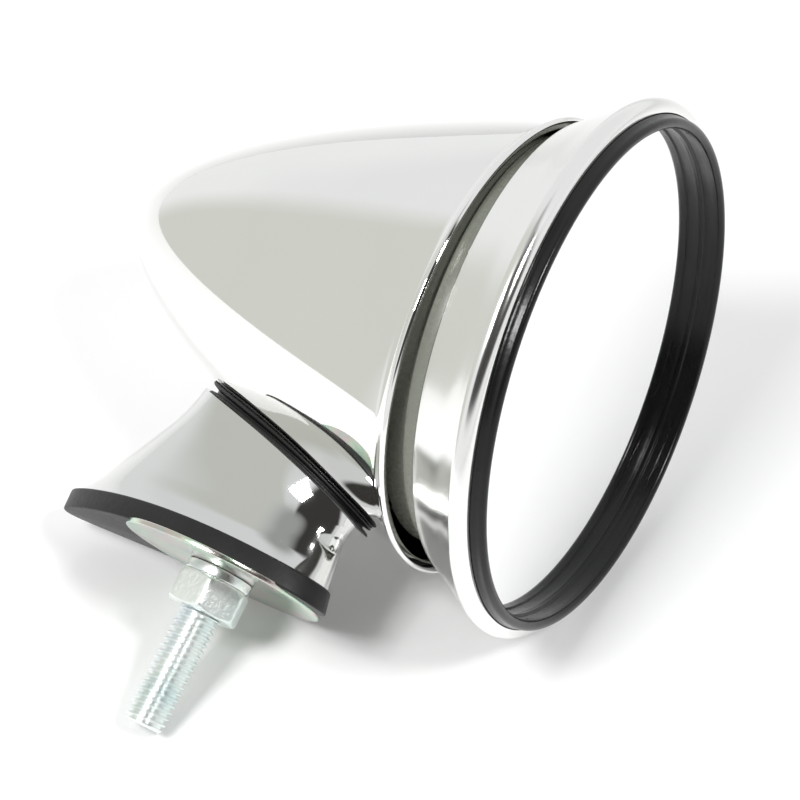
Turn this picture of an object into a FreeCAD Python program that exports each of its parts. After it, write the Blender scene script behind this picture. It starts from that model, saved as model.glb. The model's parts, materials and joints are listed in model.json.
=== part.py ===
import FreeCAD, Part
import math
import os

# Exterior bullet mirror on a flared pedestal, held by one M8 stud.
# Millimetres. Origin on the stud's axis at the base gasket's underside, +Z up
# the stud, the shell's nose towards +Y and the mirror glass facing -Y.

V = FreeCAD.Vector

# Bullet shell: a superellipse turned about a level axis
AXIS_Z = 58.5
MOUTH_Y = -32.1
SHELL_R = 43.47
SHELL_L = 84.87
LENGTH_POWER = 1.062
RADIUS_POWER = 1.796
MOUTH_TUCK = 0.65
SHELL_WALL = 0.8
LIP_R = 44.2
BEAD_R = 0.65

# Head, measured forward along its own axis from the ball's centre
BALL_Y = -24.0
BALL_Z = 58.8
HEAD_TILT = 2.0
FRONT = 29.3
RIM_R = 51.0
SHEET = 0.85
GLASS_R = 47.8
GLASS_THICK = 1.6
GLASS_DEPTH = 4.8
LIP_CENTRE_R = 47.34
PLATE_DEPTH = 8.0
PLATE_THICK = 1.2
NECK_R = 40.5

# Ball joint
BALL_R = 8.0
LINER_IN = 8.05
LINER_OUT = 9.5
SOCKET_IN = 9.55
SOCKET_OUT = 17.0
CLAMP_CIRCLE = 13.2

# Foot; it stands a little turned under the shell, and its saddle pad is a thin wedge
GASKET_H = 4.2
FOOT_TURN = 9.0
WING_R = 430.0
SADDLE_THICK = 2.0
SADDLE_WEDGE = 1.2
SADDLE_LEVEL = 17.5
STUD_R = 4.0
SHANK_R = 3.6
STUD_TIP = -32.5
STUD_TOP = 43.0
COLLAR_R = 5.5
NUT_FLATS = 13.0
NUT_H = 6.5
PENNY_R = 20.0
BLOCK_TOP = 30.2
FOOT_THICK = 2.5

BODY = FreeCAD.Placement(V(0, 0, AXIS_Z), FreeCAD.Rotation(V(1, 0, 0), 90))
SOCKET = FreeCAD.Placement(V(0, BALL_Y, BALL_Z), FreeCAD.Rotation(V(1, 0, 0), 90))
HEAD = FreeCAD.Placement(V(0, BALL_Y, BALL_Z), FreeCAD.Rotation(V(1, 0, 0), 90 - HEAD_TILT))


def at(point):
    """A (radius, height) pair as a vector in the XZ plane."""
    return V(point[0], 0, point[1])


def line(a, b):
    return Part.makeLine(at(a), at(b))


def arc(a, middle, b):
    return Part.Arc(at(a), at(middle), at(b)).toShape()


def curve(points):
    spline = Part.BSplineCurve()
    spline.interpolate([at(p) for p in points])
    return spline.toShape()


def spin(edges):
    """Turn a closed outline of edges about the Z axis."""
    face = Part.Face(Part.Wire(edges))
    return face.revolve(V(0, 0, 0), V(0, 0, 1), 360)


def turned(corners):
    """Turn a closed outline of straight sides about the Z axis."""
    pairs = zip(corners, corners[1:] + corners[:1])
    return spin([line(a, b) for a, b in pairs])


def placed(shape, placement):
    copy = shape.copy()
    copy.Placement = placement.multiply(copy.Placement)
    return copy


def rod(radius, bottom, top, x=0.0, y=0.0):
    return Part.makeCylinder(radius, top - bottom, V(x, y, bottom))


def around(shape, count, start=0.0):
    """Copies of a shape spread evenly about the Z axis."""
    copies = []
    for i in range(count):
        copy = shape.copy()
        copy.rotate(V(0, 0, 0), V(0, 0, 1), start + 360.0 * i / count)
        copies.append(copy)
    return copies


def save(name, shape):
    shape.exportStep("parts/" + name + ".step")


def bullet_point(t):
    """Radius and distance behind the mouth; t is 0 at the nose, pi/2 at the mouth."""
    behind = SHELL_L * math.cos(t) ** (2 / LENGTH_POWER)
    radius = SHELL_R * math.sin(t) ** (2 / RADIUS_POWER)
    return radius - MOUTH_TUCK * math.exp(-behind / 6), behind


def offset_point(t, grow):
    """The same point moved outward by grow, as (radius, height) about the body axis."""
    if t == 0:
        return 0.0, -MOUTH_Y - SHELL_L - grow
    r0, s0 = bullet_point(t - 1e-4)
    r1, s1 = bullet_point(min(t + 1e-4, math.pi / 2))
    r, s = bullet_point(t)
    size = math.hypot(r1 - r0, s1 - s0)
    return r - grow * (s1 - s0) / size, -MOUTH_Y - s - grow * (r1 - r0) / size


def bullet(grow, ahead=0.0):
    """Solid bullet, grown by grow, its open end carried ahead of the mouth plane."""
    steps = 18
    points = [offset_point(0.5 * math.pi * i / steps, grow) for i in range(steps + 1)]
    points[0] = (0.0, points[0][1])
    end = (points[-1][0], points[-1][1] + ahead)
    edges = [curve(points)]
    if ahead:
        edges.append(line(points[-1], end))
    edges.append(line(end, (0, end[1])))
    edges.append(line((0, end[1]), points[0]))
    return placed(spin(edges), BODY)


def oval(front, back, width, pinch, skew=0.0):
    """Closed oval wire from front (y, z) to back (y, z), turned with the foot.

    Pinch narrows both ends and skew narrows the back one.
    """
    count = 28
    c = math.cos(math.radians(FOOT_TURN))
    s = math.sin(math.radians(FOOT_TURN))
    half_y = 0.5 * (back[0] - front[0])
    half_z = 0.5 * (back[1] - front[1])
    points = []
    for i in range(count):
        u = 2 * math.pi * i / count
        side = math.sin(u) * (1 - pinch * math.cos(u) ** 2) * (1 - skew * math.cos(u))
        along = 1 + math.cos(u)
        x = width * side
        y = front[0] + half_y * along
        points.append(V(x * c + y * s, y * c - x * s, front[1] + half_z * along))
    spline = Part.BSplineCurve()
    spline.interpolate(points, True)
    return Part.Wire(spline.toShape())


def prism(front, back, width, pinch, skew, bottom, top):
    wire = oval((front, bottom), (back, bottom), width, pinch, skew)
    return Part.Face(wire).extrude(V(0, 0, top - bottom))


# Foot: base gasket, pedestal, saddle gasket

def wing(height):
    """The gently curved body panel, raised by a height."""
    return Part.makeCylinder(WING_R + height, 80, V(-40, 0, -WING_R), V(1, 0, 0))


def base_gasket():
    """Pad of even thickness bent over the panel, with a flat for the penny washer."""
    low = oval((-24.1, -3.0), (40.3, -3.0), 15.7, 0.17, 0.2)
    high = oval((-22.4, 4.4), (41.1, 4.4), 14.2, 0.17, 0.2)
    pad = Part.makeLoft([low, high], True, True)
    pad = pad.common(wing(GASKET_H)).cut(wing(0))
    return pad.cut(rod(4.3, -4, GASKET_H + 1)).cut(rod(PENNY_R + 0.2, -4, 0))


# Pedestal sections: front (y, z), back (y, z), half width, pinch, skew
PEDESTAL = (
    ((-22.2, 3.0), (40.8, 1.5), 13.9, 0.17, 0.20),
    ((-21.8, 6.3), (36.6, 6.0), 11.9, 0.16, 0.17),
    ((-21.3, 9.5), (32.9, 11.5), 11.0, 0.14, 0.14),
    ((-20.9, 13.0), (28.8, 18.0), 10.2, 0.12, 0.10),
    ((-21.4, 16.0), (25.1, 24.0), 9.9, 0.08, 0.06),
    ((-23.4, 19.5), (23.0, 30.0), 10.1, 0.05, 0.03),
    ((-26.0, 24.0), (22.2, 36.0), 10.8, 0.03, 0.0),
)


def under_shell(share=1.0):
    """The shell grown by a share of the saddle pad, which is thicker towards the nose."""
    grown = bullet(SADDLE_THICK * share)
    grown.rotate(V(0, 0, SADDLE_LEVEL), V(1, 0, 0), -SADDLE_WEDGE * share)
    return grown


def pedestal():
    body = Part.makeLoft([oval(*section) for section in PEDESTAL], True, False)
    body = body.cut([under_shell(), wing(GASKET_H)])
    wall = 3.0
    inner = []
    for front, back, width, pinch, skew in PEDESTAL[:3]:
        inner.append(oval((front[0] + wall, front[1]), (back[0] - 2 * wall, back[1]),
                          width - wall, pinch, skew))
    hollow = Part.makeLoft(inner, True, False).cut(rod(7.5, 0, 40))
    body = body.cut(hollow)
    return body.cut(rod(3.9, 0, 40)).cut(rod(COLLAR_R + 0.05, 0, 9.0))


def saddle_gasket():
    """Pad between pedestal and shell; a groove round its edge leaves two lips."""
    pad = prism(-24.0, 21.2, 10.6, 0.05, 0.08, 5, 45).common(under_shell()).cut(bullet(0))
    core = prism(-22.6, 19.8, 9.4, 0.05, 0.08, 4, 46)
    groove = under_shell(2 / 3).cut(under_shell(1 / 3)).cut(core)
    return pad.cut(groove).cut(rod(4.6, 0, 45))


def bullet_shell():
    start_t = 0.5 * math.pi
    while bullet_point(start_t)[1] < 2.6:
        start_t -= 0.001
    edge_r = bullet_point(start_t)[0]
    m = -MOUTH_Y
    centre = LIP_R - BEAD_R
    top = m + 0.1
    c45 = BEAD_R * math.sqrt(0.5)
    bead_back = (centre + c45, top - c45)
    bead_front = (centre, top + BEAD_R)
    lip = spin([
        line((41.2, m - 2.6), (edge_r, m - 2.6)),
        arc((edge_r, m - 2.6), (edge_r + 0.4, m - 1.3), bead_back),
        arc(bead_back, (LIP_R, top), bead_front),
        arc(bead_front, (42.6, m + 0.45), (41.2, m - 0.1)),
        line((41.2, m - 0.1), (41.2, m - 2.6)),
    ])
    shell = bullet(0).fuse(placed(lip, BODY)).cut(bullet(-SHELL_WALL, 5.0))
    return shell.cut(rod(4.2, 10, 45))


# Clamping stack on the stud

def mounting_stud():
    return turned([
        (0, STUD_TIP), (STUD_R - 0.8, STUD_TIP), (STUD_R, STUD_TIP + 0.8), (STUD_R, -9.5),
        (SHANK_R, -9.5), (SHANK_R, 6.0), (COLLAR_R, 6.0), (COLLAR_R, 9.0), (SHANK_R, 9.0),
        (SHANK_R, STUD_TOP - 0.8), (SHANK_R - 0.8, STUD_TOP), (0, STUD_TOP),
    ])


def washer(inner, outer, bottom, top):
    return rod(outer, bottom, top).cut(rod(inner, bottom - 1, top + 1))


def spring_washer():
    ring = washer(4.4, 6.5, -3.0, -1.0)
    gap = Part.makeBox(8, 0.6, 6, V(2, -0.3, -5))
    gap.rotate(V(0, 0, -2), V(1, 0, 0), 35)
    gap.rotate(V(0, 0, 0), V(0, 0, 1), 285)
    return ring.cut(gap)


def hexagon(flats, bottom, top, turn, bore):
    """Chamfered hexagon nut about the Z axis."""
    corner = flats / math.sqrt(3)
    points = [V(corner * math.cos(math.radians(turn + 60 * i)),
                corner * math.sin(math.radians(turn + 60 * i)), bottom) for i in range(7)]
    block = Part.Face(Part.makePolygon(points)).extrude(V(0, 0, top - bottom))
    face_r = 0.475 * flats
    fall = 0.55 * (corner - face_r)
    limit = turned([(0, bottom), (face_r, bottom), (corner, bottom + fall),
                    (corner, top - fall), (face_r, top), (0, top)])
    sink = 0.45
    hole = turned([(0, bottom - 1), (bore + sink, bottom - 1), (bore + sink, bottom),
                   (bore, bottom + sink), (bore, top - sink), (bore + sink, top),
                   (bore + sink, top + 1), (0, top + 1)])
    return block.common(limit).cut(hole)


def shell_clamp_block():
    """Wedge lying on the shell's inside and giving the bracket a level seat."""
    block = Part.makeBox(24, 24, 20, V(-12, -12.5, BLOCK_TOP - 20))
    uprights = [e for e in block.Edges if abs(e.Vertexes[0].Z - e.Vertexes[1].Z) > 1]
    block = block.makeFillet(5, uprights)
    return block.common(bullet(-SHELL_WALL)).cut(rod(4.2, 0, 45))


# Ball joint carrier: bracket, two sockets and their sprung screws

def pivot_bracket():
    foot = Part.makeBox(24, 21.3, FOOT_THICK, V(-12, -12.5, BLOCK_TOP))
    corners = [e for e in foot.Edges
               if abs(e.Vertexes[0].Z - e.Vertexes[1].Z) > 1 and e.Vertexes[0].Y > 0]
    foot = foot.makeFillet(5, corners)
    stem = Part.makeBox(24, FOOT_THICK, BALL_Z - BLOCK_TOP, V(-12, -12.5, BLOCK_TOP))
    disc = Part.makeCylinder(18, FOOT_THICK, V(0, -12.5, BALL_Z), V(0, 1, 0))
    bend_y = -12.5 + FOOT_THICK
    bend_z = BLOCK_TOP + FOOT_THICK
    bend = 3.0
    corner = Part.makeBox(24, bend, bend, V(-12, bend_y, bend_z))
    round_off = Part.makeCylinder(bend, 24, V(-12, bend_y + bend, bend_z + bend), V(1, 0, 0))
    bracket = foot.fuse([stem, disc, corner.cut(round_off)]).removeSplitter()
    holes = [placed(hole, SOCKET) for hole in around(rod(2.15, -20, 0, 0, CLAMP_CIRCLE), 3)]
    return bracket.cut([rod(4.2, 0, 45)] + holes)


def socket_half(back, front):
    shape = turned([(0, back), (SOCKET_OUT - 1, back), (SOCKET_OUT, back + 1),
                    (SOCKET_OUT, front - 1), (SOCKET_OUT - 1, front), (0, front)])
    shape = shape.cut(Part.makeSphere(SOCKET_IN))
    holes = around(rod(2.15, -20, 20, 0, CLAMP_CIRCLE), 3)
    return placed(shape.cut(holes), SOCKET)


def ball_liner():
    liner = Part.makeSphere(LINER_OUT).cut(Part.makeSphere(LINER_IN))
    return placed(liner.cut(rod(12, 5.0, 12)), HEAD)


def socket_screw():
    shank = rod(2.0, -21.2, 7.0, 0, CLAMP_CIRCLE)
    head = Part.makeCylinder(3.6, 2.6, V(0, CLAMP_CIRCLE, 6.5))
    head = head.makeFillet(1.0, [head.Edges[0]])
    slot = Part.makeBox(8, 0.9, 1.2, V(-4, CLAMP_CIRCLE - 0.45, 8.0))
    return head.fuse(shank).removeSplitter().cut(slot)


def socket_springs():
    """Four disc springs under each nut, stacked face to face and back to back."""
    thick = 0.4
    cone = 0.2
    discs = []
    for i in range(4):
        inner = -16.4 + 0.6 * i + (cone if i % 2 else 0)
        outer = -16.4 + 0.6 * i + (0 if i % 2 else cone)
        disc_spring = turned([(2.15, inner), (4.0, outer), (4.0, outer + thick),
                              (2.15, inner + thick)])
        disc_spring.translate(V(0, CLAMP_CIRCLE, 0))
        discs.append(disc_spring)
    copies = [placed(copy, SOCKET) for each in discs for copy in around(each, 3)]
    return Part.makeCompound(copies)


def socket_nut():
    nut = hexagon(7.0, -19.6, -16.4, 0, 2.02)
    nut.translate(V(0, CLAMP_CIRCLE, 0))
    return nut


def three(shape):
    return Part.makeCompound([placed(copy, SOCKET) for copy in around(shape, 3)])


# Head

def ball_stud():
    stud = Part.makeSphere(BALL_R).fuse([
        rod(4.0, 5.0, 13.0),
        rod(8.0, 12.6, 15.1),
        turned([(0, 15.0), (3.0, 15.0), (3.0, 20.5), (2.5, 21.0), (0, 21.0)]),
    ])
    return placed(stud.removeSplitter(), HEAD)


def back_plate():
    rear = FRONT - PLATE_DEPTH - PLATE_THICK
    front = rear + PLATE_THICK
    plate = turned([
        (3.1, 16.3), (20.0, 16.3), (27.0, front), (47.0, front), (47.0, rear),
        (27.6, rear), (20.6, 15.1), (3.1, 15.1),
    ])
    return placed(plate.cut(around(rod(1.5, 10, 25, 35.0), 4, 45)), HEAD)


def back_plate_screws():
    screw = rod(1.48, 17.6, 21.3, 35.0).fuse(rod(2.8, 16.8, 18.6, 35.0))
    screw = screw.removeSplitter().cut(Part.makeBox(6, 0.8, 0.9, V(32.0, -0.4, 16.7)))
    return Part.makeCompound([placed(copy, HEAD) for copy in around(screw, 4, 45)])


def neck_ring():
    top = FRONT - PLATE_DEPTH - PLATE_THICK
    ring = turned([
        (32.0, top), (NECK_R - 0.8, top), (NECK_R - 0.8, 12.2), (NECK_R, 11.6),
        (NECK_R, 9.0), (NECK_R - 1.1, 8.6), (NECK_R - 1.1, 4.3), (38.1, 4.3),
        (38.1, top - 1.5), (32.0, top - 1.5),
    ])
    return placed(ring.cut(around(rod(1.6, 10, 25, 35.0), 4, 45)), HEAD)


def depth(radius, behind):
    """A point of the head given by its depth behind the front plane."""
    return radius, FRONT - behind


def bezel():
    """Thin trumpet ring, rolled over the seal in front and curled in behind."""
    rolled = depth(48.8, 2.43)
    rim_in = depth(50.75, 3.55)
    rim_out = depth(50.8, 5.35)
    tail = depth(44.15, 16.0)
    outside = curve([rim_out, depth(50.0, 6.5), depth(48.3, 9.0), depth(46.5, 12.0), tail])
    inside_tail = depth(43.42, 15.56)
    inside_rim = depth(49.9, 5.0)
    inside = curve([inside_tail, depth(45.78, 11.57), depth(47.55, 8.56),
                    depth(49.31, 6.0), inside_rim])
    return placed(spin([
        arc(rolled, depth(50.0, 2.75), rim_in),
        arc(rim_in, depth(RIM_R, 4.5), rim_out),
        outside,
        arc(tail, depth(43.7, 16.4), depth(43.15, 16.2)),
        line(depth(43.15, 16.2), inside_tail),
        inside,
        arc(inside_rim, depth(50.1, 4.5), depth(49.7, 3.9)),
        arc(depth(49.7, 3.9), depth(49.3, 3.5), depth(48.8, 3.3)),
        line(depth(48.8, 3.3), rolled),
    ]), HEAD)


def glass_seal():
    """Rubber channel: a round lip ahead of the glass, a groove for its edge, a back flange."""
    glass_back = GLASS_DEPTH + GLASS_THICK
    inner = LIP_CENTRE_R - 1.0
    outer = LIP_CENTRE_R + 1.0
    corners = [(48.72, 2.43), (48.72, 5.0), (47.75, PLATE_DEPTH), (46.3, PLATE_DEPTH),
               (46.3, glass_back), (GLASS_R + 0.02, glass_back), (GLASS_R + 0.02, GLASS_DEPTH),
               (46.5, GLASS_DEPTH), (inner, 1.0)]
    edges = [arc(depth(inner, 1.0), depth(LIP_CENTRE_R, 0.0), depth(outer, 1.0)),
             line(depth(outer, 1.0), depth(*corners[0]))]
    for a, b in zip(corners, corners[1:]):
        edges.append(line(depth(*a), depth(*b)))
    return placed(spin(edges), HEAD)


def disc(radius, front, thick, bevel, bore=0.0):
    """Flat round sheet of the head, bevelled at both edges."""
    back = front + thick
    corners = [depth(bore, front), depth(radius - bevel, front), depth(radius, front + bevel),
               depth(radius, back - bevel), depth(radius - bevel, back), depth(bore, back)]
    return placed(turned(corners), HEAD)


os.makedirs("parts", exist_ok=True)
save("base_gasket", base_gasket())
save("pedestal", pedestal())
save("saddle_gasket", saddle_gasket())
save("bullet_shell", bullet_shell())
save("mounting_stud", mounting_stud())
save("penny_washer", washer(4.2, PENNY_R, -1.0, 0.0))
save("spring_washer", spring_washer())
save("hex_nut", hexagon(NUT_FLATS, -3.0 - NUT_H, -3.0, 18.5, SHANK_R + 0.02))
save("shell_clamp_block", shell_clamp_block())
save("pivot_bracket", pivot_bracket())
SEAT = BLOCK_TOP + FOOT_THICK
save("clamp_washer", washer(4.2, 7.2, SEAT, SEAT + 1.6))
save("clamp_nut", hexagon(NUT_FLATS, SEAT + 1.6, SEAT + 1.6 + NUT_H, 0, SHANK_R + 0.02))
save("rear_socket", socket_half(-11.5, -0.6))
save("front_socket", socket_half(0.6, 6.5))
save("socket_screws", three(socket_screw()))
save("socket_springs", socket_springs())
save("socket_nuts", three(socket_nut()))
save("ball_liner", ball_liner())
save("ball_stud", ball_stud())
save("ball_stud_washer", placed(washer(3.1, 6.0, 16.3, 17.3), HEAD))
save("ball_stud_nut", placed(hexagon(10.0, 17.3, 20.5, 0, 3.02), HEAD))
save("back_plate", back_plate())
save("back_plate_screws", back_plate_screws())
save("neck_ring", neck_ring())
save("bezel", bezel())
save("glass_seal", glass_seal())
save("mirror_glass", disc(GLASS_R, GLASS_DEPTH, GLASS_THICK, 0.3))
save("glass_backing", disc(46.2, GLASS_DEPTH + GLASS_THICK,
                           PLATE_DEPTH - GLASS_DEPTH - GLASS_THICK, 0.1))
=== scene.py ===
import json
import math

import bmesh
import bpy
from mathutils import Matrix, Vector


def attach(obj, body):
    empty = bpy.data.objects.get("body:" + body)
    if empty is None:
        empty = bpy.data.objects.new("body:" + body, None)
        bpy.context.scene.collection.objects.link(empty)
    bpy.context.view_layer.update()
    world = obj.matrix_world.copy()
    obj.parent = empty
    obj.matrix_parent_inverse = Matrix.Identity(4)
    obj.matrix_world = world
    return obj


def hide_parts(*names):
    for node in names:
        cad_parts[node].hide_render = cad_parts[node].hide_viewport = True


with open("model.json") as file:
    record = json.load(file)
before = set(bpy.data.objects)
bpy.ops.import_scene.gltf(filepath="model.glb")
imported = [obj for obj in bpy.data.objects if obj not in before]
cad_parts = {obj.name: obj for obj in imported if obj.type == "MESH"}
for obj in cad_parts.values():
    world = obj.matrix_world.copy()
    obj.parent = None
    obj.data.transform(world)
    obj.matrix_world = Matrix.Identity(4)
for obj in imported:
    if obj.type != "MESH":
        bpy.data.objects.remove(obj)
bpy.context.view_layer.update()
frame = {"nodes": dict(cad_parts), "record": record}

MM = 0.001
TAU = 2 * math.pi

# ---------------------------------------------------------------- shape numbers, mm
AXIS_Z, MOUTH_Y = 58.5, -32.1
SHELL_R, SHELL_L = 43.47, 84.87
LENGTH_POWER, RADIUS_POWER, MOUTH_TUCK = 1.062, 1.796, 0.65
SHELL_WALL, LIP_R, BEAD_R = 0.8, 44.2, 0.65
BALL = (0.0, -24.0, 58.8)
HEAD_TILT, FRONT = 2.0, 29.3
SADDLE, SADDLE_SLOPE = 2.0, math.tan(math.radians(1.2))
GASKET_H, FOOT_TURN, WING_R = 4.2, math.radians(9.0), 430.0
NECK_R = 40.5
STUD_R, PITCH, THREAD_DEPTH = 3.99, 1.25, 0.69
STUD_BOTTOM, THREAD_TOP = -32.5, -3.0
NUT_HALF, NUT_H, NUT_CORNER_R = 6.5, 6.5, 7.38

# The table's plane: its upward direction, and its height along it in mm.
FLOOR_UP = Vector((-0.880, -0.108, 0.461)).normalized()
FLOOR_LEVEL = -18.4


def axis_frame(origin, degrees):
    turn = Matrix.Rotation(math.radians(degrees), 4, "X")
    return Matrix.Translation(Vector(origin)) @ turn


BODY = axis_frame((0, 0, AXIS_Z), 90)
HEAD = axis_frame(BALL, 90 - HEAD_TILT)
UP = Matrix.Identity(4)


# ---------------------------------------------------------------- mesh helpers
def build(name, points, faces, material, body, nodes, slot, sharp=40):
    """A smooth-shaded mesh in mm that stands for CAD nodes and rides on their body."""
    mesh = bpy.data.meshes.new(name)
    mesh.from_pydata([[c * MM for c in p] for p in points], [], faces)
    work = bmesh.new()
    work.from_mesh(mesh)
    bmesh.ops.recalc_face_normals(work, faces=work.faces)
    work.to_mesh(mesh)
    work.free()
    mesh.polygons.foreach_set("use_smooth", [True] * len(mesh.polygons))
    mesh.set_sharp_from_angle(angle=math.radians(sharp))
    mesh.materials.append(material)
    obj = bpy.data.objects.new(name, mesh)
    bpy.context.scene.collection.objects.link(obj)
    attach(obj, body)
    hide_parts(*nodes)


def grid(rows, close_rows=True):
    """Faces of a grid of rows; every row is closed, and the rows close on each other if asked."""
    count = len(rows)
    width = len(rows[0])
    points = [p for row in rows for p in row]
    faces = []
    for i in range(count if close_rows else count - 1):
        j = (i + 1) % count
        for k in range(width):
            m = (k + 1) % width
            faces.append((i * width + k, i * width + m, j * width + m, j * width + k))
    return points, faces


def circle(r, z, count):
    """Points of a circle about the Z axis."""
    angles = [TAU * i / count for i in range(count)]
    return [Vector((r * math.cos(a), r * math.sin(a), z)) for a in angles]


def lathe(profile, matrix, segments=256):
    """A closed outline of (radius, height) turned about the local Z axis."""
    return grid([[matrix @ p for p in circle(max(r, 1e-3), z, segments)] for r, z in profile])


def towards_stud(row, radius, height):
    """The points of a row drawn in to a radius about the stud; height is worked out at (x, y)."""
    points = []
    for p in row:
        shrink = radius / math.hypot(p[0], p[1])
        x, y = p[0] * shrink, p[1] * shrink
        points.append(Vector((x, y, height(x, y))))
    return points


def arc3(a, b, c, steps=10):
    """Points of the arc from a to c through b, without the last one."""
    (ax, ay), (bx, by), (cx, cy) = a, b, c
    d = 2 * (ax * (by - cy) + bx * (cy - ay) + cx * (ay - by))
    sa, sb, sc = ax * ax + ay * ay, bx * bx + by * by, cx * cx + cy * cy
    ux = (sa * (by - cy) + sb * (cy - ay) + sc * (ay - by)) / d
    uy = (sa * (cx - bx) + sb * (ax - cx) + sc * (bx - ax)) / d
    r = math.hypot(ax - ux, ay - uy)
    start = math.atan2(ay - uy, ax - ux)
    mid = (math.atan2(by - uy, bx - ux) - start) % TAU
    end = (math.atan2(cy - uy, cx - ux) - start) % TAU
    sweep = end if mid < end else end - TAU
    return [(ux + r * math.cos(start + sweep * i / steps),
             uy + r * math.sin(start + sweep * i / steps)) for i in range(steps)]


def flow(knots, steps=10):
    """Catmull-Rom curve through knots of any dimension, without the last one."""
    out = []
    for i in range(len(knots) - 1):
        p1, p2 = knots[i], knots[i + 1]
        p0 = knots[i - 1] if i else tuple(2 * a - b for a, b in zip(p1, p2))
        p3 = knots[i + 2] if i + 2 < len(knots) else tuple(2 * b - a for a, b in zip(p1, p2))
        for s in range(steps):
            t = s / steps
            out.append(tuple(
                0.5 * (2 * b + (c - a) * t + (2 * a - 5 * b + 4 * c - d) * t * t
                       + (3 * b - a - 3 * c + d) * t ** 3)
                for a, b, c, d in zip(p0, p1, p2, p3)))
    return out


def round_corners(corners, radius, steps=4):
    """A closed outline with each corner cut back by radius and rounded."""
    out = []
    n = len(corners)
    for i in range(n):
        p = Vector(corners[i])
        before = Vector(corners[i - 1]) - p
        after = Vector(corners[(i + 1) % n]) - p
        cut = min(radius, 0.45 * before.length, 0.45 * after.length)
        a, b = p + before.normalized() * cut, p + after.normalized() * cut
        for s in range(steps + 1):
            t = s / steps
            q = a * (1 - t) ** 2 + p * 2 * t * (1 - t) + b * t * t
            out.append(tuple(q))
    return out


# ---------------------------------------------------------------- the bullet's own formula
def bullet_point(t):
    behind = SHELL_L * max(math.cos(t), 0.0) ** (2 / LENGTH_POWER)
    radius = SHELL_R * math.sin(t) ** (2 / RADIUS_POWER)
    return radius - MOUTH_TUCK * math.exp(-behind / 6), behind


def bullet_radius(behind):
    """Outside radius at a distance behind the mouth, and its slope."""
    def radius(s):
        s = min(max(s, 0.0), SHELL_L)
        full = SHELL_R * (1 - (s / SHELL_L) ** LENGTH_POWER) ** (1 / RADIUS_POWER)
        return full - MOUTH_TUCK * math.exp(-s / 6)
    slope = (radius(behind + 0.05) - radius(behind - 0.05)) / 0.1
    return radius(behind), slope


def belly(x, y, grow):
    """Height of the shell's underside, grown by grow, over the point (x, y)."""
    r, slope = bullet_radius(y - MOUTH_Y)
    r += grow * math.sqrt(1 + slope * slope)
    return AXIS_Z - math.sqrt(max(r * r - x * x, 1.0))


def under_shell(x, y, share=1.0):
    """Height of a layer of the saddle pad, which is thicker towards the nose."""
    return belly(x, y, SADDLE * share) - SADDLE_SLOPE * share * y


def wing(y, height):
    """Height of the curved body panel, raised by a height, at y."""
    return math.sqrt((WING_R + height) ** 2 - y * y) - WING_R


def oval(front, back, width, pinch, skew, count):
    """Points of a closed pinched oval from front (y, z) to back (y, z), turned with the foot."""
    points = []
    c, s = math.cos(FOOT_TURN), math.sin(FOOT_TURN)
    for i in range(count):
        u = TAU * i / count
        side = math.sin(u) * (1 - pinch * math.cos(u) ** 2) * (1 - skew * math.cos(u))
        along = 0.5 * (1 + math.cos(u))
        x, y = width * side, front[0] + (back[0] - front[0]) * along
        points.append((x * c + y * s, y * c - x * s, front[1] + (back[1] - front[1]) * along))
    return points


# ---------------------------------------------------------------- materials
class Shader:
    """A Principled material built up node by node."""

    def __init__(self, name, color, metallic=0.0, roughness=0.4):
        self.material = bpy.data.materials.new(name)
        self.material.use_nodes = True
        self.tree = self.material.node_tree
        self.main = self.tree.nodes["Principled BSDF"]
        self.main.inputs["Base Color"].default_value = (*color, 1)
        self.main.inputs["Metallic"].default_value = metallic
        self.main.inputs["Roughness"].default_value = roughness
        self.place = self.add("ShaderNodeTexCoord").outputs["Object"]

    def add(self, kind, **values):
        node = self.tree.nodes.new(kind)
        for key, value in values.items():
            node.inputs[key.replace("_", " ")].default_value = value
        return node

    def link(self, a, b):
        self.tree.links.new(a, b)

    def noise(self, scale, detail=3.0):
        node = self.add("ShaderNodeTexNoise", Scale=scale, Detail=detail)
        self.link(self.place, node.inputs["Vector"])
        return node.outputs["Fac"]

    def ramp(self, source, stops):
        node = self.add("ShaderNodeValToRGB")
        ramp = node.color_ramp
        while len(ramp.elements) < len(stops):
            ramp.elements.new(0.5)
        for element, (place, color) in zip(ramp.elements, stops):
            element.position = place
            element.color = (*color, 1)
        self.link(source, node.inputs["Fac"])
        return node.outputs["Color"]

    def vary(self, name, source, low, high):
        node = self.add("ShaderNodeMapRange", To_Min=low, To_Max=high)
        self.link(source, node.inputs["Value"])
        self.link(node.outputs["Result"], self.main.inputs[name])

    def bump(self, source, strength, distance):
        node = self.add("ShaderNodeBump", Strength=strength, Distance=distance)
        self.link(source, node.inputs["Height"])
        self.link(node.outputs["Normal"], self.main.inputs["Normal"])


def chrome(name, color, low, high, ripple):
    s = Shader(name, color, 1.0, low)
    cloud = s.noise(60.0)
    s.vary("Roughness", cloud, low, high)
    tint = s.ramp(cloud, [(0.3, tuple(0.985 * c for c in color)), (0.7, color)])
    s.link(tint, s.main.inputs["Base Color"])
    s.bump(s.noise(45.0, 1.0), ripple, 0.0004)
    return s.material


def rubber(name, color, grain, low, high):
    s = Shader(name, color, 0.0, 0.42)
    s.main.inputs["Specular IOR Level"].default_value = 0.3
    speck = s.noise(900.0, 4.0)
    s.vary("Roughness", speck, low, high)
    bloom = s.ramp(s.noise(55.0), [(0.35, color), (0.75, tuple(1.5 * c for c in color))])
    s.link(bloom, s.main.inputs["Base Color"])
    s.bump(speck, grain, 0.0002)
    return s.material


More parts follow.
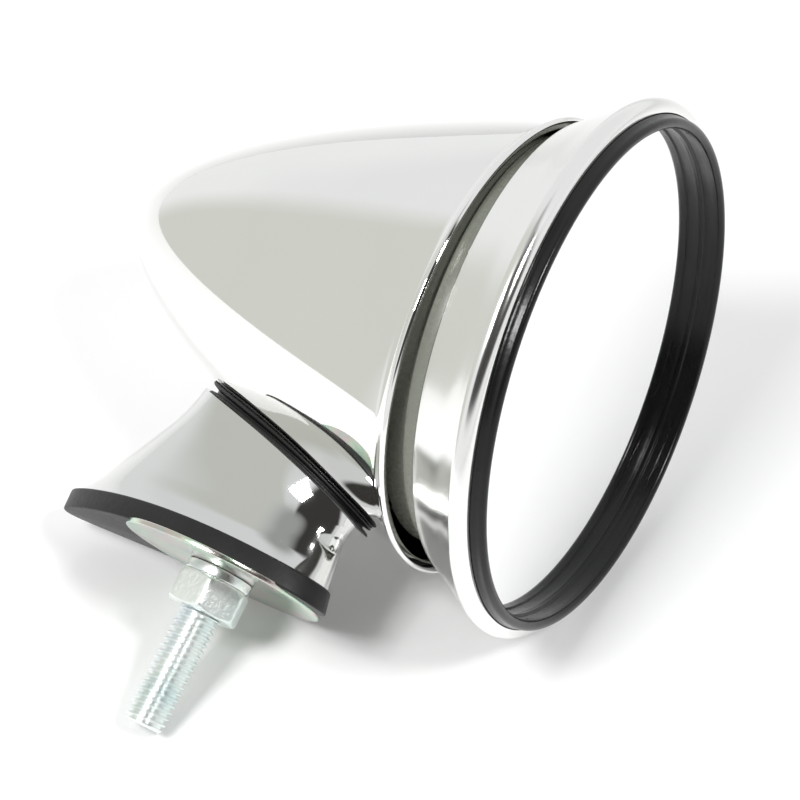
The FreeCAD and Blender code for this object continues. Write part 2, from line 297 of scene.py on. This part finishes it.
def zinc(name, stops, low, high, grain=0.12):
    s = Shader(name, stops[0][1], 1.0, low)
    s.link(s.ramp(s.noise(95.0, 2.0), stops), s.main.inputs["Base Color"])
    fine = s.noise(1500.0, 3.0)
    s.vary("Roughness", fine, low, high)
    s.bump(fine, grain, 0.0002)
    return s.material


def metal(name, color, low, high):
    s = Shader(name, color, 1.0, low)
    grain = s.noise(700.0)
    s.vary("Roughness", grain, low, high)
    s.link(s.ramp(grain, [(0.3, tuple(0.85 * c for c in color)), (0.7, color)]),
           s.main.inputs["Base Color"])
    s.bump(grain, 0.1, 0.0002)
    return s.material


def plastic(name, color, low, high):
    s = Shader(name, color, 0.0, low)
    grain = s.noise(800.0, 3.0)
    s.vary("Roughness", grain, low, high)
    s.link(s.ramp(s.noise(40.0), [(0.3, tuple(0.9 * c for c in color)), (0.7, color)]),
           s.main.inputs["Base Color"])
    s.bump(grain, 0.08, 0.0002)
    return s.material


SHELL_CHROME = chrome("shell_chrome", (0.93, 0.93, 0.915), 0.02, 0.05, 0.02)
BEZEL_CHROME = chrome("bezel_chrome", (0.93, 0.93, 0.915), 0.13, 0.19, 0.01)
# Darker base colour than the shell's chrome: partly the duller plating of the cast pedestal, partly
# painted shade standing for the dark reflections of the shell's underside and the shaded table.
DULL_AND_SHADED_CHROME = chrome("cast_chrome", (0.74, 0.745, 0.735), 0.03, 0.07, 0.03)
BLACK_RUBBER = rubber("black_rubber", (0.010, 0.010, 0.010), 0.25, 0.34, 0.52)
SEAL_RUBBER = rubber("glossy_rubber", (0.006, 0.006, 0.006), 0.15, 0.16, 0.28)
NUT_ZINC = zinc("nut_zinc", [(0.3, (0.78, 0.88, 0.85)), (0.6, (0.92, 0.95, 0.93))], 0.32, 0.5, 0.5)
ZINC = zinc("bright_zinc", [(0.3, (0.74, 0.83, 0.82)), (0.55, (0.90, 0.93, 0.91)),
                            (0.75, (0.82, 0.88, 0.92))], 0.22, 0.38)
YELLOW_ZINC = zinc("iridescent_zinc", [(0.30, (0.42, 0.62, 0.54)), (0.45, (0.62, 0.74, 0.60)),
                                       (0.56, (0.72, 0.62, 0.61)), (0.68, (0.50, 0.67, 0.61))],
                   0.14, 0.26)
STEEL = metal("plain_steel", (0.56, 0.56, 0.55), 0.25, 0.45)
SPRING = metal("spring_steel", (0.40, 0.41, 0.43), 0.2, 0.35)
CASTING = metal("cast_aluminium", (0.66, 0.66, 0.65), 0.4, 0.6)
GREY_GREEN = plastic("grey_green_plastic", (0.24, 0.25, 0.21), 0.2, 0.34)
NYLON = plastic("natural_nylon", (0.80, 0.78, 0.70), 0.35, 0.5)
FOAM = plastic("foam", (0.05, 0.05, 0.05), 0.8, 0.95)
SILVER = chrome("mirror_silver", (0.95, 0.955, 0.95), 0.0, 0.008, 0.0)

LOOKS = {
    "polished_chrome": SHELL_CHROME, "cast_chrome": DULL_AND_SHADED_CHROME, "black_rubber": BLACK_RUBBER,
    "zinc_bright": ZINC, "zinc_yellow": YELLOW_ZINC, "plain_steel": STEEL,
    "spring_steel": SPRING, "cast_aluminium": CASTING, "grey_green_plastic": GREY_GREEN,
    "natural_nylon": NYLON, "mirror_silver": SILVER, "foam": FOAM,
}
slots = {part["node"]: part["material_slot"] for part in frame["record"]["subparts"]}
for node_name, node in frame["nodes"].items():
    node.data.materials.clear()
    node.data.materials.append(LOOKS[slots[node_name]])


# ---------------------------------------------------------------- bullet shell
def shell_profile():
    """Outside from nose to lip, round the bead, and back along the inside."""
    outside = []
    steps = 150
    for i in range(steps + 1):
        r, s = bullet_point(0.5 * math.pi * (i / steps))
        if s < 2.6:
            break
        outside.append((r, -MOUTH_Y - s))
    m = -MOUTH_Y
    edge_r = bullet_radius(2.6)[0]
    centre = LIP_R - BEAD_R
    top = m + 0.1
    c45 = BEAD_R * math.sqrt(0.5)
    bead_back = (centre + c45, top - c45)
    front = (centre, top + BEAD_R)
    lip = arc3((edge_r, m - 2.6), (edge_r + 0.4, m - 1.3), bead_back, 10)
    lip += arc3(bead_back, (LIP_R, top), front, 10)
    lip += arc3(front, (42.7, m + 0.42), (42.0, m + 0.1), 6)
    inside = []
    for r, z in reversed(outside[::2]):
        s = m - z
        slope = bullet_radius(s)[1] if s < 84 else -4.0
        size = math.hypot(1, slope)
        inside.append((max(r - SHELL_WALL / size, 0), z - SHELL_WALL * slope / size))
    inside = [(r, z) for r, z in inside if z < m - 0.5 and z > -51.9]
    inside.append((0, -51.97))
    outside[0] = (0, outside[0][1])
    return outside + lip + [(42.0, m - 0.1)] + inside


build("shell", *lathe(shell_profile(), BODY, 320), SHELL_CHROME, "stand", ["bullet_shell"],
      "polished_chrome", 50)


# ---------------------------------------------------------------- head
def depth(radius, behind):
    return radius, FRONT - behind


def bezel_profile():
    rolled, rim_in, rim_out = depth(48.8, 2.43), depth(50.75, 3.55), depth(50.8, 5.35)
    tail, tail_in = depth(44.15, 16.0), depth(43.42, 15.56)
    outline = arc3(rolled, depth(50.0, 2.75), rim_in, 10)
    outline += arc3(rim_in, depth(51.0, 4.5), rim_out, 8)
    outline += flow([rim_out, depth(50.0, 6.5), depth(48.3, 9.0), depth(46.5, 12.0), tail], 10)
    outline += arc3(tail, depth(43.7, 16.4), depth(43.15, 16.2), 8)
    outline += [depth(43.15, 16.2)]
    outline += flow([tail_in, depth(45.78, 11.57), depth(47.55, 8.56), depth(49.31, 6.0),
                     depth(49.9, 5.0)], 6)
    outline += arc3(depth(49.9, 5.0), depth(50.1, 4.5), depth(49.7, 3.9), 6)
    outline += arc3(depth(49.7, 3.9), depth(49.3, 3.5), depth(48.8, 3.3), 5)
    outline += [depth(48.8, 3.3)]
    return outline


def seal_profile():
    outline = arc3(depth(46.34, 1.0), depth(47.34, 0.0), depth(48.34, 1.0), 20)
    outline += arc3(depth(48.34, 1.0), depth(48.46, 1.8), depth(48.74, 2.5), 5)
    outline += round_corners([depth(48.72, 5.0), depth(47.75, 8.0), depth(46.3, 8.0),
                              depth(46.3, 6.4), depth(47.82, 6.4), depth(47.82, 4.8)], 0.15, 2)
    outline += round_corners([depth(46.35, 4.8), depth(46.35, 4.2), depth(46.75, 3.9),
                              depth(46.75, 2.2), depth(46.4, 1.9)], 0.08, 2)
    return outline


def neck_profile():
    top = 20.1
    return round_corners([
        (32.0, top), (NECK_R - 0.8, top), (NECK_R - 0.8, 12.2), (NECK_R, 11.6),
        (NECK_R, 9.0), (NECK_R - 1.1, 8.6), (NECK_R - 1.1, 4.3), (38.1, 4.3),
        (38.1, top - 1.5), (32.0, top - 1.5)], 0.25, 3)


build("trumpet_bezel", *lathe(bezel_profile(), HEAD, 320), BEZEL_CHROME, "head", ["bezel"],
      "polished_chrome", 50)
build("lipped_seal", *lathe(seal_profile(), HEAD, 320), SEAL_RUBBER, "head", ["glass_seal"],
      "black_rubber", 50)
build("stepped_ring", *lathe(neck_profile(), HEAD, 256), GREY_GREEN, "head", ["neck_ring"],
      "grey_green_plastic", 50)

# ---------------------------------------------------------------- foot
# Sections up the casting: front y and z, back y and z, half width, pinch and skew of the oval.
PEDESTAL = [
    (-22.2, 3.0, 40.8, 1.5, 13.9, 0.17, 0.20), (-21.8, 6.3, 36.6, 6.0, 11.9, 0.16, 0.17),
    (-21.3, 9.5, 32.9, 11.5, 11.0, 0.14, 0.14), (-20.9, 13.0, 28.8, 18.0, 10.2, 0.12, 0.10),
    (-21.4, 16.0, 25.1, 24.0, 9.9, 0.08, 0.06), (-23.4, 19.5, 23.0, 30.0, 10.1, 0.05, 0.03),
    (-26.0, 24.0, 22.2, 36.0, 10.8, 0.03, 0.0),
]


def pedestal_rows():
    """Rows up the flared casting, each column stopping on the saddle gasket's underside."""
    columns = 200
    sections = []
    for yf, zf, yb, zb, width, pinch, skew in flow(PEDESTAL, 24):
        sections.append(oval((yf, zf), (yb, zb), width, pinch, skew, columns))
    tops = []
    for k in range(columns):
        for i in range(1, len(sections)):
            x, y, z = sections[i][k]
            if z > under_shell(x, y):
                break
        low, high = Vector(sections[i - 1][k]), Vector(sections[i][k])
        t = 0.5
        step = 0.25
        for _ in range(12):
            p = low.lerp(high, t)
            t += step if p.z < under_shell(p.x, p.y) else -step
            step /= 2
        tops.append(i - 1 + t)
    bottoms = []
    for k in range(columns):
        i = 0
        while sections[i + 1][k][2] < wing(sections[i + 1][k][1], GASKET_H):
            i += 1
        a = sections[i][k][2] - wing(sections[i][k][1], GASKET_H)
        b = sections[i + 1][k][2] - wing(sections[i + 1][k][1], GASKET_H)
        bottoms.append(i + a / (a - b))
    rows = []
    count = 70
    for j in range(count + 1):
        row = []
        for k in range(columns):
            place = bottoms[k] + (tops[k] - bottoms[k]) * j / count
            i = min(int(place), len(sections) - 2)
            p = Vector(sections[i][k]).lerp(Vector(sections[i + 1][k]), place - i)
            row.append(p)
        rows.append(row)
    floor = towards_stud(rows[0], 4.0, lambda x, y: GASKET_H)
    hole = towards_stud(rows[-1], 4.0, under_shell)
    return [floor] + rows + [hole]


build("flared_pedestal", *grid(pedestal_rows()), DULL_AND_SHADED_CHROME, "stand", ["pedestal"],
      "cast_chrome", 45)


def pad_rows(columns=220):
    """The base gasket: flared sides with rounded edges and a hole for the stud."""
    side = round_corners([(0.0, 0.0), (0.0, GASKET_H), (-2.2, GASKET_H), (-2.2, 0.0)], 0.45, 4)
    rows = []
    low = oval((-24.1, -3.0), (40.3, -3.0), 15.7, 0.17, 0.2, columns)
    high = oval((-22.4, 4.4), (41.1, 4.4), 14.2, 0.17, 0.2, columns)
    ways = []
    for k in range(columns):
        t = (Vector(low[(k + 1) % columns]) - Vector(low[k - 1])).normalized()
        ways.append(Vector((t.y, -t.x, 0)))
    sign = 1 if ways[columns // 4].dot(Vector(low[columns // 4])) > 0 else -1
    for out, height in side[:10]:
        row = []
        for k in range(columns):
            z = wing(low[k][1], height)
            p = Vector(low[k]).lerp(Vector(high[k]), (z + 3.0) / 7.4)
            row.append(p + ways[k] * sign * out)
        rows.append(row)
    rows.append(towards_stud(low, 4.3, lambda x, y: GASKET_H))
    rows.append(towards_stud(low, 4.3, lambda x, y: 0.0))
    return rows


build("base_pad", *grid(pad_rows()), BLACK_RUBBER, "stand", ["base_gasket"], "black_rubber", 60)


def saddle_rows(columns=240):
    """Two rubber lips round a groove; they part a little at both ends."""
    edge = oval((-24.0, 0), (21.2, 0), 10.6, 0.05, 0.08, columns)
    bends = [math.pi * (i / 6 - 0.5) for i in range(7)]
    section = [(-6.0, 0.0), (-0.5, 0.0)]
    section += [(-0.4 + 0.4 * math.cos(a), 0.17 + 0.15 * math.sin(a)) for a in bends]
    section += [(-1.2, 0.36), (-1.2, 0.62)]
    section += [(-0.4 + 0.4 * math.cos(a), 0.81 + 0.18 * math.sin(a)) for a in bends]
    section += [(-0.5, 1.0), (-6.0, 1.0)]
    rows = []
    for outset, k in section:
        row = []
        for c in range(columns):
            x, y, _ = edge[c]
            a, b = Vector(edge[c - 1]), Vector(edge[(c + 1) % columns])
            t = (b - a).normalized()
            n = Vector((t.y, -t.x, 0))
            if n.dot(Vector((x, y + 2.2, 0))) < 0:
                n = -n
            end = abs(math.cos(TAU * c / columns)) ** 8
            reach = outset + (0.5 * end if outset > -1.0 else 0)
            droop = 0.35 * end * max(0.0, 1 + outset) if k > 0.5 else 0.0
            px, py = x + n.x * reach, y + n.y * reach
            row.append(Vector((px, py, under_shell(px, py, k + droop))))
        rows.append(row)
    return rows


build("saddle_lips", *grid(saddle_rows()), BLACK_RUBBER, "stand", ["saddle_gasket"],
      "black_rubber", 60)


# ---------------------------------------------------------------- stud, nut and washers
def thread_radius(z, angle):
    """Radius of the M8 x 1.25 thread at a height and angle: rounded roots, slim flat crests."""
    phase = (z / PITCH - angle / TAU) % 1.0
    v = abs(2 * phase - 1)
    depth_share = min(max((v - 0.10) / 0.72, 0.0), 1.0)
    wave = 0.5 - 0.5 * math.cos(math.pi * depth_share)
    return STUD_R - THREAD_DEPTH * (0.55 * depth_share + 0.45 * wave)


def stud_rows(around=96, count=300):
    """The threaded free end up to the nut, then the plain shank with its collar, and the end face."""
    rows = []
    for i in range(count + 1):
        z = STUD_BOTTOM + (THREAD_TOP - STUD_BOTTOM) * i / count
        chamfer = 3.2 + (z - STUD_BOTTOM)
        row = []
        for k in range(around):
            a = TAU * k / around
            r = min(thread_radius(z, a), chamfer)
            row.append(Vector((r * math.cos(a), r * math.sin(a), z)))
        rows.append(row)
    shank = [(3.6, -2.9), (3.6, 6.0), (5.5, 6.0), (5.5, 9.0), (3.6, 9.0), (3.6, 42.2),
             (2.8, 43.0), (0.001, 43.0)]
    end_face = [(0.001, STUD_BOTTOM), (2.6, STUD_BOTTOM)]
    return rows + [circle(r, z, around) for r, z in shank + end_face]


build("threaded_stud", *grid(stud_rows()), ZINC, "stand", ["mounting_stud"], "zinc_bright", 60)


def soft_least(values, sharpness=9.0):
    """Nearly the least of the values, rounded over where two of them meet."""
    return -math.log(sum(math.exp(-sharpness * v) for v in values)) / sharpness


def nut_rows(bottom, turn, around=288):
    """Hexagon with softly rounded edges, chamfered at both faces, round a bore."""
    top = bottom + NUT_H
    rows = []
    levels = [0.0, 0.12, 0.3, 0.5, 0.8, 1.2, 2.0, 3.25]
    levels += [NUT_H - h for h in reversed(levels[:-1])]
    for h in levels:
        cone = 6.35 + 1.75 * min(h, NUT_H - h)
        row = []
        for k in range(around):
            a = TAU * k / around
            local = (a - math.radians(turn) + math.pi / 6) % (math.pi / 3) - math.pi / 6
            flat = NUT_HALF / math.cos(math.pi / 6 - abs(local))
            r = soft_least((flat, cone, NUT_CORNER_R))
            row.append(Vector((r * math.cos(a), r * math.sin(a), bottom + h)))
        rows.append(row)
    bore = [(4.15, top), (3.62, top - 0.5), (3.62, bottom + 0.5), (4.15, bottom)]
    return rows + [circle(r, z, around) for r, z in bore]


build("chamfered_nut", *grid(nut_rows(-9.5, 18.5)), NUT_ZINC, "stand", ["hex_nut"],
      "zinc_bright", 35)

build("rounded_penny", *lathe(round_corners([(4.2, -1.0), (20.0, -1.0), (20.0, 0.0), (4.2, 0.0)],
                                            0.22, 3), UP, 256),
      YELLOW_ZINC, "stand", ["penny_washer"], "zinc_yellow", 50)


def split_ring():
    """Square-section spring washer with a slanted split."""
    steps = 180
    gap = math.radians(5.5)
    rows = []
    section = round_corners([(4.4, -1.97), (6.5, -1.97), (6.5, -0.03), (4.4, -0.03)], 0.3, 3)
    for i in range(steps + 1):
        share = i / steps
        row = []
        for r, z in section:
            slant = math.radians(9.0) * (z + 1.0) / 1.94
            a = math.radians(285) + gap / 2 + (TAU - gap) * share + slant
            row.append(Vector((r * math.cos(a), r * math.sin(a), -1.0 + z)))
        rows.append(row)
    points, faces = grid(rows, False)
    width = len(section)
    faces.append(tuple(range(width)))
    faces.append(tuple(steps * width + k for k in reversed(range(width))))
    return points, faces


build("split_washer", *split_ring(), ZINC, "stand", ["spring_washer"], "zinc_bright", 40)


# ---------------------------------------------------------------- table, lights and camera
def table_material():
    """Glossy white laminate, seen only from above."""
    s = Shader("white_table", (0.96, 0.96, 0.96), 0.0, 0.22)
    s.vary("Roughness", s.noise(30.0), 0.18, 0.26)
    geometry = s.add("ShaderNodeNewGeometry")
    clear = s.add("ShaderNodeBsdfTransparent")
    mix = s.add("ShaderNodeMixShader")
    out = s.tree.nodes["Material Output"]
    s.link(geometry.outputs["Backfacing"], mix.inputs["Fac"])
    s.link(s.main.outputs["BSDF"], mix.inputs[1])
    s.link(clear.outputs["BSDF"], mix.inputs[2])
    s.link(mix.outputs["Shader"], out.inputs["Surface"])
    return s.material


FORWARD = Vector((0.87942, 0.42953, 0.20523))
AWAY = (FORWARD - FLOOR_UP * FORWARD.dot(FLOOR_UP)).normalized()
RIGHT = AWAY.cross(FLOOR_UP)


def studio(azimuth, elevation):
    """Direction seen from the object: azimuth 0 is away from the camera, 90 to its right."""
    a, e = math.radians(azimuth), math.radians(elevation)
    return (RIGHT * math.sin(a) + AWAY * math.cos(a)) * math.cos(e) + FLOOR_UP * math.sin(e)


def table_top():
    """White sheet, in metres; its left edge is 0.2 m to the left of the object."""
    centre = FLOOR_UP * FLOOR_LEVEL * MM + RIGHT * 0.80
    across, along = RIGHT * 1.0, AWAY * 1.5
    corners = [centre + across * i + along * j for i, j in ((-1, -1), (1, -1), (1, 1), (-1, 1))]
    mesh = bpy.data.meshes.new("table")
    mesh.from_pydata([tuple(p) for p in corners], [], [(0, 1, 2, 3)])
    mesh.materials.append(table_material())
    obj = bpy.data.objects.new("table", mesh)
    bpy.context.scene.collection.objects.link(obj)


table_top()


class Sky:
    """The studio round the object, as soft patches of grey by direction."""

    def __init__(self, color):
        world = bpy.data.worlds.new("studio")
        bpy.context.scene.world = world
        world.use_nodes = True
        self.tree = world.node_tree
        self.out = self.tree.nodes["Background"]
        self.color = (*color, 1)
        view = self.node("ShaderNodeTexCoord").outputs["Generated"]
        x, y, z = (self.dot(view, axis) for axis in (RIGHT, AWAY, FLOOR_UP))
        self.elevation = self.math("ARCSINE", z)
        self.azimuth = self.math("ARCTAN2", x, y)
        back_x = self.math("MULTIPLY", x, -1.0)
        back_y = self.math("MULTIPLY", y, -1.0)
        self.azimuth_back = self.math("ARCTAN2", back_x, back_y)

    def node(self, kind):
        return self.tree.nodes.new(kind)

    def feed(self, value, socket):
        """Link an output, or set a plain number or colour."""
        if isinstance(value, bpy.types.NodeSocket):
            self.tree.links.new(value, socket)
        else:
            socket.default_value = value

    def mix(self, factor, under, over):
        node = self.node("ShaderNodeMix")
        node.data_type = "RGBA"
        self.tree.links.new(factor, node.inputs["Factor"])
        self.feed(under, node.inputs[6])
        self.feed(over, node.inputs[7])
        return node.outputs[2]

    def dot(self, vector, axis):
        node = self.node("ShaderNodeVectorMath")
        node.operation = "DOT_PRODUCT"
        self.tree.links.new(vector, node.inputs[0])
        node.inputs[1].default_value = axis
        return node.outputs["Value"]

    def math(self, operation, a, b=0.0):
        node = self.node("ShaderNodeMath")
        node.operation = operation
        self.feed(a, node.inputs[0])
        self.feed(b, node.inputs[1])
        return node.outputs[0]

    def step(self, value, edge, soft, rising):
        node = self.node("ShaderNodeMapRange")
        node.interpolation_type = "SMOOTHSTEP"
        node.inputs["From Min"].default_value = math.radians(edge - soft)
        node.inputs["From Max"].default_value = math.radians(edge + soft)
        node.inputs["To Min"].default_value = 0.0 if rising else 1.0
        node.inputs["To Max"].default_value = 1.0 if rising else 0.0
        self.feed(value, node.inputs["Value"])
        return node.outputs["Result"]

    def patch(self, color, azimuths, elevations, soft, behind=False):
        """Lay a colour over a range of directions; behind counts azimuth from the camera's side."""
        turn = self.azimuth_back if behind else self.azimuth
        mask = self.step(turn, azimuths[0], soft, True)
        mask = self.math("MULTIPLY", mask, self.step(turn, azimuths[1], soft, False))
        mask = self.math("MULTIPLY", mask, self.step(self.elevation, elevations[0], soft, True))
        mask = self.math("MULTIPLY", mask, self.step(self.elevation, elevations[1], soft, False))
        self.color = self.mix(mask, self.color, (*color, 1))

    def done(self, backdrop):
        """Reflections and light come from the patches; behind the object lies one pale tone."""
        seen = self.node("ShaderNodeLightPath").outputs["Is Camera Ray"]
        self.feed(self.mix(seen, self.color, (*backdrop, 1)), self.out.inputs["Color"])


sky = Sky((0.82, 0.83, 0.835))
sky.patch((0.88, 0.89, 0.89), (-190, 190), (-95, 13), 8)
sky.patch((0.66, 0.67, 0.625), (-106, -48), (-50, 76), 7)
sky.patch((0.40, 0.41, 0.40), (-190, 190), (76, 95), 8)
sky.patch((0.05, 0.048, 0.045), (-72, 40), (16, 80), 6, True)
sky.done((0.87, 0.88, 0.88))
bpy.context.scene.view_settings.view_transform = "Standard"


def soft_light(name, position, target, size, power):
    light = bpy.data.lights.new(name, "AREA")
    light.shape = "SQUARE"
    light.size = size
    light.energy = power
    obj = bpy.data.objects.new(name, light)
    bpy.context.scene.collection.objects.link(obj)
    obj.location = position
    obj.rotation_mode = "QUATERNION"
    obj.rotation_quaternion = (target - position).to_track_quat("-Z", "Y")


FOCUS = Vector((0.0, -0.015, 0.04))
soft_light("left_softbox", FOCUS + studio(-132, 55) * 0.8, FOCUS, 0.20, 3.7)
soft_light("right_softbox", FOCUS + studio(130, 55) * 0.8, FOCUS, 0.12, 2.2)

LENS_MM = 100.67
EYE = Vector((-0.36648, -0.19571, -0.04361))
DOWN = Vector((0.36322, -0.32678, -0.87251))


def make_camera():
    data = bpy.data.cameras.new("camera")
    data.lens = LENS_MM
    data.sensor_width = 36.0
    data.clip_start = 0.01
    data.clip_end = 50.0
    obj = bpy.data.objects.new("camera", data)
    bpy.context.scene.collection.objects.link(obj)
    back = -FORWARD.normalized()
    up = (-DOWN - back * back.dot(-DOWN)).normalized()
    right = up.cross(back)
    turn = Matrix((right, up, back)).transposed()
    obj.matrix_world = Matrix.Translation(EYE) @ turn.to_4x4()
    bpy.context.scene.camera = obj


make_camera()
